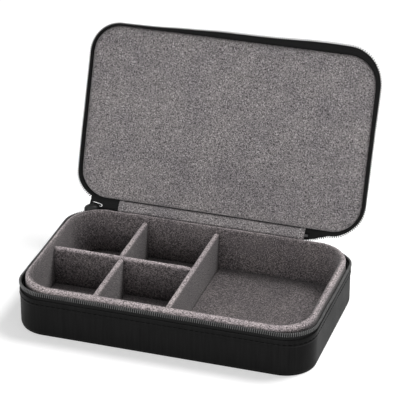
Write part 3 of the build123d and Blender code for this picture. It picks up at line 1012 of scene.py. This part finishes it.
def across_hinge(piece, material):
    """Gives a piece its finish and bakes its place into its mesh."""
    piece.data.materials.append(material)
    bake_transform(piece)


def hinge_sheet(name, path, left, right, thick, ripple, fold=0.0):
    """A strip of sheet that crosses the hinge, twice as thick over its folded ends."""
    section = section_line(path)
    rows = []
    count = round((right - left) / (0.6 * MM))
    for i in range(count + 1):
        x = left + (right - left) * i / count
        doubled = 1.0 if min(x - left, right - x) < fold else 0.5
        row = []
        for side, line in ((doubled, section), (-0.5, section[::-1])):
            for p, n in line:
                here = Vector((x, p.y, p.z))
                bulge = fuzz(here, 15 * MM, ripple)
                row.append(here + round_corner(here) + n * (side * thick + bulge))
        rows.append(row)
    sheet = swept(name, rows)
    set_painted_highlight(sheet)
    return sheet


def make_strip():
    """The suede strip inside the hinge, and the pale thread across its folded ends."""
    low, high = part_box("hinge_strip")
    strip = hinge_sheet(
        "hinge_strip_suede", STRIP_PATH, low.x, high.x, 0.6 * MM, ripple=0.12 * MM, fold=3.6 * MM
    )
    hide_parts("hinge_strip")
    across_hinge(strip, LID_SUEDE_PAINTED_LIGHT)
    section = section_line(STRIP_PATH)
    bm = bmesh.new()
    for x, places in ((low.x + STITCH_IN, LEFT_STITCHES), (high.x - STITCH_IN, RIGHT_STITCHES)):
        for place in places:
            p, n = section[place]
            tangent = Vector((0, n.z, -n.y))
            centre = Vector((x, p.y, p.z)) + n * 0.72 * MM
            capsule(bm, centre, tangent, RIGHT, n, 1.0 * MM, 0.42 * MM, 0.4 * MM)
    across_hinge(add_object("strip_end_stitches", bm), PALE_THREAD)


def make_spine():
    """The leather spine outside the hinge."""
    low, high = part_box("spine_lower_flap")
    spine = hinge_sheet("spine_leather", SPINE_PATH, low.x, high.x, 0.9 * MM, ripple=0.1 * MM)
    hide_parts("spine_lower_flap", "spine_upper_flap")
    across_hinge(spine, LEATHER_SKIN)


def make_joined_end():
    """The zip's closed end, between the slider and the stop: tape, and coil outside it."""
    tape = hinge_sheet("joined_tape", CHAIN_PATH, CHAIN_LEFT, CHAIN_RIGHT, TAPE, ripple=0.05 * MM)
    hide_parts("closed_zip_end")
    across_hinge(tape, TAPE_CLOTH)
    section = section_line(CHAIN_PATH)
    p, n = section[len(section) // 2]
    tangent = Vector((0, n.z, -n.y))
    outside = n if n.y > 0 else -n
    bm = bmesh.new()
    for tooth in range(int((CHAIN_RIGHT - CHAIN_LEFT) / PITCH)):
        here = Vector((CHAIN_LEFT + (tooth + 0.5) * PITCH, p.y, p.z))
        centre = here + round_corner(here) + outside * 0.6 * MM
        capsule(bm, centre, tangent, RIGHT, outside, 3.2 * MM, 0.8 * MM, 1.0 * MM)
    # these teeth take the nylon painted paler, as a painted highlight
    across_hinge(add_object("joined_teeth", bm), NYLON_PAINTED_HIGHLIGHT)


make_strip()
make_spine()
make_joined_end()


# ---- slider and pull ----
def make_slider():
    """A smooth domed slider with a low bridge for the pull."""
    low, high, dome = 27.0 * MM, 33.3 * MM, 3.2 * MM
    half_length, half_width = 4.9 * MM, 3.3 * MM
    sides, steps, fullness, tip = 32, 8, 0.8, 0.04
    middle, out = on_loop(SLIDER_S - 1.0 * MM, *case_shape(TAPE_INSET))
    outward = Vector((out.x, out.y, 0))
    along = Vector((-out.y, out.x, 0))
    centre = Vector((middle.x, middle.y, 0)) + outward * 0.9 * MM
    shoulder = high - dome
    levels = [(0.86, low), (0.98, low + 0.5 * MM), (1.0, low + 1.2 * MM), (1.0, shoulder)]
    for k in range(1, steps + 1):
        angle = math.radians(90 * k / steps)
        share = max(tip, math.cos(angle) ** fullness)
        levels.append((share, shoulder + (high - shoulder) * math.sin(angle)))
    rows = []
    for share, z in levels:
        row = []
        for k in range(sides):
            angle = 2 * math.pi * k / sides
            row.append(
                centre + along * (half_length * share * flattened(math.cos(angle), fullness))
                + outward * (half_width * share * flattened(math.sin(angle), fullness))
                + Vector((0, 0, z))
            )
        rows.append(row)
    bm = bmesh.new()
    grid(bm, rows)
    top = centre + Vector((0, 0, high + 0.15 * MM))
    capsule(bm, top, along, outward, UP, 3.6 * MM, 1.3 * MM, 1.0 * MM)
    slider = add_object("slider", bm)
    dress(slider, BLACK_METAL, "base", "black_metal", "zip_slider", "slider_bridge")


def make_pull():
    """A loop of bright wire, hung on the slider's bridge and lying to the right."""
    length, half_width, wire = 7.4 * MM, 0.9 * MM, 0.32 * MM
    arch, fullness = 0.5 * MM, 0.6
    count, sides = 48, 8
    hung = Vector(joints["pull_swing"]["pos_m"]) + Vector((0.1, -0.3, 0.7)) * MM
    way = Vector((0.99, -0.03, -0.14)).normalized()
    across = Vector((0, 0.52, 0.85))
    across = (across - way * across.dot(way)).normalized()
    up = way.cross(across)
    line = []
    for k in range(count):
        angle = 2 * math.pi * k / count
        reach = length / 2 * (1 - math.cos(angle))
        side = half_width * flattened(math.sin(angle), fullness)
        lift = arch * math.sin(math.pi * min(1.0, reach / (0.5 * length)))
        line.append(hung + way * reach + across * side + up * lift)
    rows = []
    for k in range(count):
        tangent = (line[(k + 1) % count] - line[k - 1]).normalized()
        side = tangent.cross(up).normalized()
        turns = [2 * math.pi * i / sides for i in range(sides)]
        rows.append([
            line[k] + side * (wire * math.cos(turn)) + up * (wire * math.sin(turn))
            for turn in turns
        ])
    pull = swept("pull_loop", rows, close_rows=True)
    dress(pull, BRIGHT_METAL, "pull", "bright_metal", "pull_wire")


make_slider()
make_pull()

# ---- floor, light and camera ----
FLOOR_HALF = 6.0
PAPER = 0.8
PAPER_GLOW = 0.36             # lifts the paper as the camera sees it, and lights nothing
FADE_FROM, FADE_TO = 0.25, 0.7
WORLD_LIGHT = 0.35
CAMERA_PLACE = (0.3825, -1.1523, 0.7116)
CAMERA_ELEVATION = math.radians(27.57)
CAMERA_AZIMUTH = math.radians(17.97)
CAMERA_SENSOR, CAMERA_LENS = 36.0, 201.92


def mix_shaders(tree, factor, first, second):
    node = tree.nodes.new("ShaderNodeMixShader")
    for source, socket in zip((factor, first, second), node.inputs):
        tree.links.new(source, socket)
    return node.outputs["Shader"]


def seen_directly(tree):
    """1 for the rays that show a background: from the camera, mirrored or through glass."""
    rays = tree.nodes.new("ShaderNodeLightPath")
    shown = rays.outputs["Is Camera Ray"]
    for kind in ("Is Glossy Ray", "Is Transmission Ray"):
        either = tree.nodes.new("ShaderNodeMath")
        either.operation = "MAXIMUM"
        tree.links.new(shown, either.inputs[0])
        tree.links.new(rays.outputs[kind], either.inputs[1])
        shown = either.outputs[0]
    return shown


def make_stage():
    """Pale paper under the case, which turns to plain white away from it."""
    bm = bmesh.new()
    bmesh.ops.create_grid(bm, x_segments=1, y_segments=1, size=FLOOR_HALF)
    floor = add_object("floor", bm, smooth=False)
    material = bpy.data.materials.new("floor")
    tree, surface = blank_tree(material, "ShaderNodeOutputMaterial")
    paper = add_node(tree, "ShaderNodeBsdfDiffuse", {"Color": (PAPER, PAPER, PAPER, 1)})
    glow = add_node(tree, "ShaderNodeEmission", {"Strength": PAPER_GLOW})
    white = add_node(tree, "ShaderNodeEmission", {"Strength": 1.0})
    lifted = tree.nodes.new("ShaderNodeAddShader")
    tree.links.new(paper.outputs["BSDF"], lifted.inputs[0])
    tree.links.new(glow.outputs["Emission"], lifted.inputs[1])
    distance = tree.nodes.new("ShaderNodeVectorMath")
    distance.operation = "LENGTH"
    tree.links.new(object_coords(tree), distance.inputs[0])
    away = add_node(tree, "ShaderNodeMapRange", {"From Min": FADE_FROM, "From Max": FADE_TO})
    tree.links.new(distance.outputs["Value"], away.inputs["Value"])
    shown = mix_shaders(
        tree, away.outputs["Result"], lifted.outputs["Shader"], white.outputs["Emission"]
    )
    seen = mix_shaders(tree, seen_directly(tree), paper.outputs["BSDF"], shown)
    tree.links.new(seen, surface)
    floor.data.materials.append(material)


def make_world():
    """Soft even light, behind a white background."""
    world = bpy.data.worlds.new("studio")
    bpy.context.scene.world = world
    tree, surface = blank_tree(world, "ShaderNodeOutputWorld")
    light, white = (
        add_node(tree, "ShaderNodeBackground", {"Color": (1, 1, 1, 1), "Strength": strength})
        for strength in (WORLD_LIGHT, 1.0)
    )
    sky = mix_shaders(
        tree, seen_directly(tree), light.outputs["Background"], white.outputs["Background"]
    )
    tree.links.new(sky, surface)


def area_light(name, place, target, size, power):
    light = bpy.data.lights.new(name, "AREA")
    light.shape = "DISK"
    light.size = size
    light.energy = power
    obj = bpy.data.objects.new(name, light)
    obj.location = place
    direction = Vector(target) - Vector(place)
    obj.rotation_euler = direction.to_track_quat("-Z", "Y").to_euler()
    bpy.context.scene.collection.objects.link(obj)


def make_camera():
    scene = bpy.context.scene
    data = bpy.data.cameras.new("camera")
    data.sensor_width = CAMERA_SENSOR
    data.lens = CAMERA_LENS
    camera = bpy.data.objects.new("camera", data)
    camera.location = CAMERA_PLACE
    camera.rotation_euler = Euler((math.radians(90) - CAMERA_ELEVATION, 0, CAMERA_AZIMUTH))
    scene.collection.objects.link(camera)
    scene.camera = camera
    scene.view_settings.view_transform = "Standard"


make_stage()
make_world()
area_light("key", place=(0.5, 0.45, 1.1), target=(0, 0.02, 0.03), size=0.6, power=15.0)
area_light("front", place=(0.0, -1.6, 0.33), target=(0, 0.05, 0.06), size=0.9, power=19.0)
make_camera()
